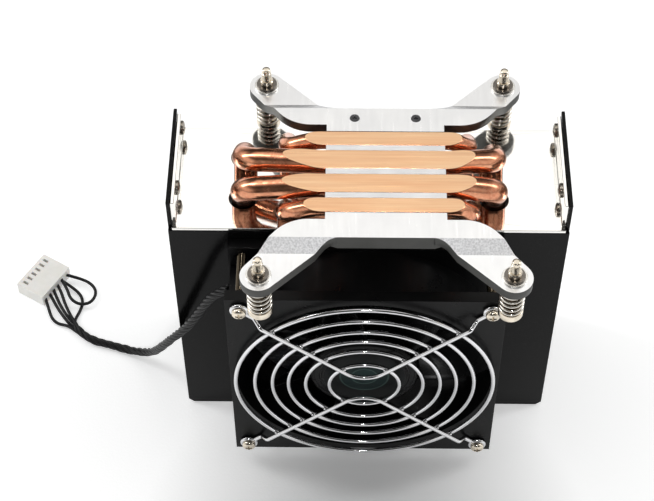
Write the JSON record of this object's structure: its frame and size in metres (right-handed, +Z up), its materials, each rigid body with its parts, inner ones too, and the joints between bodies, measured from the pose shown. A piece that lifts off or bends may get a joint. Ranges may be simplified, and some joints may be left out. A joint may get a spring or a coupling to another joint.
{
  "type": "cpu tower cooler",
  "caption": "CPU tower cooler with a finned tower in a black housing, heat pipes over a flat base, spring-screw clip brackets and a guarded axial fan.",
  "frame": {"origin": "on the floor under the housing's middle in X and the base's middle in Y, the tower standing on its far end with the base up", "axes": "+X across the fan to the right seen from the fan, +Y from the fan to the back, +Z up, out of the base's contact face"},
  "size_m": [0.2031, 0.1012, 0.1301],
  "materials": {
    "black_sheet": "gloss black coating",
    "bright_cover": "mirror bright",
    "nickel": "nickel plated",
    "fin_aluminium": "mill",
    "base_aluminium": "fine milled",
    "bracket_aluminium": "satin brushed",
    "copper": "bare copper, milled flats",
    "fan_plastic": "satin black moulding",
    "label_film": "plain printed film",
    "rotor_steel": "drawn steel",
    "magnet": "bonded ferrite",
    "coil_wire": "enamelled copper wire",
    "board": "solder mask",
    "guard_chrome": "bright plated wire",
    "wire_sleeve": "black insulation",
    "plug_plastic": "natural white nylon",
    "contact_tin": "tin plated",
    "spring_steel": "nickel plated spring wire"
  },
  "bodies": {
    "cooler": {"back_bracket": "bracket_aluminium", "back_frame": "black_sheet", "back_inner_pipe": "copper", "back_left_spring": "spring_steel", "back_left_washer": "nickel", "back_outer_pipe": "copper", "back_right_spring": "spring_steel", "back_right_washer": "nickel", "base_block": "base_aluminium", "bearings": "rotor_steel", "bracket_screws": "nickel", "circuit_board": "board", "cover_plate": "bright_cover", "end_cover": "black_sheet", "fan_frame": "fan_plastic", "fan_lead": "wire_sleeve", "fan_screws": "nickel", "fin_stack": "fin_aluminium", "front_bracket": "bracket_aluminium", "front_inner_pipe": "copper", "front_left_spring": "spring_steel", "front_left_washer": "nickel", "front_outer_pipe": "copper", "front_panel": "black_sheet", "front_right_spring": "spring_steel", "front_right_washer": "nickel", "guard_rings": "guard_chrome", "guard_stays": "guard_chrome", "jumper_wire": "wire_sleeve", "lead_clip": "fan_plastic", "left_side_panel": "black_sheet", "loop_wire": "wire_sleeve", "low_wire": "wire_sleeve", "middle_wire": "wire_sleeve", "outer_wire": "wire_sleeve", "plug_contacts": "contact_tin", "plug_housing": "plug_plastic", "right_side_panel": "black_sheet", "side_screws": "nickel", "side_wire": "wire_sleeve", "stator_coils": "coil_wire", "stator_core": "rotor_steel"},
    "rotor": {"impeller": "fan_plastic", "hub_label": "label_film", "rotor_can": "rotor_steel", "magnet_ring": "magnet", "shaft": "rotor_steel"},
    "front_left_ring": {"front_left_e_clip": "nickel"},
    "front_left_screw": {"front_left_spring_screw": "nickel"},
    "front_right_ring": {"front_right_e_clip": "nickel"},
    "front_right_screw": {"front_right_spring_screw": "nickel"},
    "back_left_ring": {"back_left_e_clip": "nickel"},
    "back_left_screw": {"back_left_spring_screw": "nickel"},
    "back_right_ring": {"back_right_e_clip": "nickel"},
    "back_right_screw": {"back_right_spring_screw": "nickel"}
  },
  "joints": [
    {"name": "rotor_spin", "type": "hinge", "parent": "cooler", "child": "rotor", "pos_m": [-0.0008, -0.0221, 0.0549], "axis": [0, 1, 0], "continuous": true},
    {"name": "front_left_press", "type": "slide", "parent": "cooler", "child": "front_left_ring", "axis": [0, 0, 1], "range_m": [0, 0.005], "stiffness_N_per_m": 1200, "springref_m": -0.004, "deforming": ["front_left_spring"]},
    {"name": "front_left_turn", "type": "hinge", "parent": "front_left_ring", "child": "front_left_screw", "pos_m": [-0.0347, -0.04, 0.122], "axis": [0, 0, 1], "continuous": true},
    {"name": "front_right_press", "type": "slide", "parent": "cooler", "child": "front_right_ring", "axis": [0, 0, 1], "range_m": [0, 0.005], "stiffness_N_per_m": 1200, "springref_m": -0.004, "deforming": ["front_right_spring"]},
    {"name": "front_right_turn", "type": "hinge", "parent": "front_right_ring", "child": "front_right_screw", "pos_m": [0.0453, -0.04, 0.122], "axis": [0, 0, 1], "continuous": true},
    {"name": "back_left_press", "type": "slide", "parent": "cooler", "child": "back_left_ring", "axis": [0, 0, 1], "range_m": [0, 0.005], "stiffness_N_per_m": 1200, "springref_m": -0.004, "deforming": ["back_left_spring"]},
    {"name": "back_left_turn", "type": "hinge", "parent": "back_left_ring", "child": "back_left_screw", "pos_m": [-0.0347, 0.04, 0.122], "axis": [0, 0, 1], "continuous": true},
    {"name": "back_right_press", "type": "slide", "parent": "cooler", "child": "back_right_ring", "axis": [0, 0, 1], "range_m": [0, 0.005], "stiffness_N_per_m": 1200, "springref_m": -0.004, "deforming": ["back_right_spring"]},
    {"name": "back_right_turn", "type": "hinge", "parent": "back_right_ring", "child": "back_right_screw", "pos_m": [0.0453, 0.04, 0.122], "axis": [0, 0, 1], "continuous": true}
  ]
}
